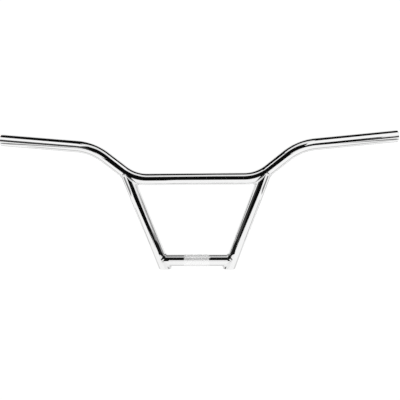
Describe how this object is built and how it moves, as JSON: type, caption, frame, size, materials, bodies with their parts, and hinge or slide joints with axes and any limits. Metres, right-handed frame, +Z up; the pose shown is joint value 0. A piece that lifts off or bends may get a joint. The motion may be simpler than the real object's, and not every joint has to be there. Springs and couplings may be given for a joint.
{
  "type": "bmx handlebar",
  "caption": "Chrome-plated steel BMX handlebar: a bent top bar with swept-back grip ends and a level crossbar, on slanted legs welded to a clamp tube for a stem.",
  "frame": {"origin": "middle of the clamp tube, on its axis", "axes": "+X along the clamp tube, to the right seen from the front of the bicycle, +Y back towards the rider, +Z up"},
  "size_m": [0.7492, 0.0623, 0.2535],
  "materials": {
    "tube_chrome": "bright polished chrome plate",
    "weld_chrome": "chrome plate over rippled weld"
  },
  "bodies": {
    "root": {"top_bar": "tube_chrome", "left_leg": "tube_chrome", "right_leg": "tube_chrome", "clamp_tube": "tube_chrome", "left_leg_cap": "tube_chrome", "right_leg_cap": "tube_chrome", "left_top_weld": "weld_chrome", "right_top_weld": "weld_chrome", "left_foot_weld": "weld_chrome", "right_foot_weld": "weld_chrome"}
  },
  "joints": []
}
